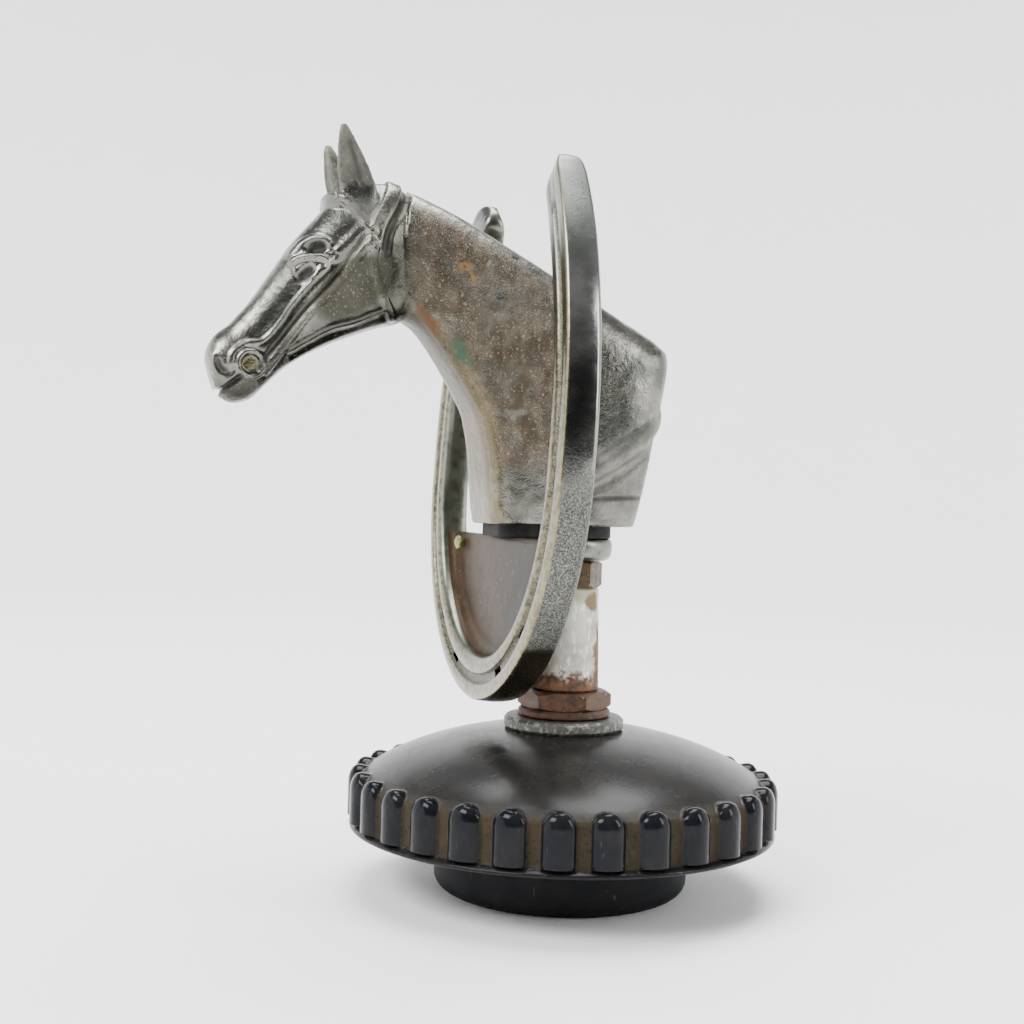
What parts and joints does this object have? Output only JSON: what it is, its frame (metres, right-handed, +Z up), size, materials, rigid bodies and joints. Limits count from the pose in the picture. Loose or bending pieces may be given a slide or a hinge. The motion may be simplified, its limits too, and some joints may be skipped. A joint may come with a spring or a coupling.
{
  "type": "hood ornament",
  "caption": "Radiator-cap mascot: plated horse head and neck through an upright horseshoe, on a painted post over a ribbed black screw cap.",
  "frame": {"origin": "centre of the cap skirt's lower face, on the cap's axis", "axes": "+Z up along the cap's axis, -Y the way the horse faces, +X the horse's left side"},
  "size_m": [0.082, 0.108, 0.1356],
  "materials": {
    "worn_chrome": "worn plating with brown and green stains",
    "bright_chrome": "bright to frosted plating, pitted near the toe",
    "black_rubber": "matt",
    "rusty_steel": "rusted",
    "painted_post": "silver-white paint, rusty at the foot",
    "grey_steel": "dull grey, chipped edge",
    "black_bakelite": "glossy ribs, hazy dome",
    "dull_steel": "dull"
  },
  "bodies": {
    "cap_and_post": {"cap": "black_bakelite", "sealing_ring": "black_rubber", "clamp_washer": "dull_steel", "spring_washer": "dull_steel", "clamp_nut": "dull_steel", "seat_washer": "grey_steel", "thin_washer": "rusty_steel", "lock_nut": "rusty_steel", "post": "painted_post", "lug_nut": "rusty_steel"},
    "mascot": {"horse_bust": "worn_chrome", "packing_pad": "black_rubber", "horseshoe": "bright_chrome"}
  },
  "joints": [
    {"name": "mascot_swivel", "type": "hinge", "parent": "cap_and_post", "child": "mascot", "pos_m": [0, 0, 0.0662], "axis": [0, 0, 1], "range_deg": [-180, 180]}
  ]
}
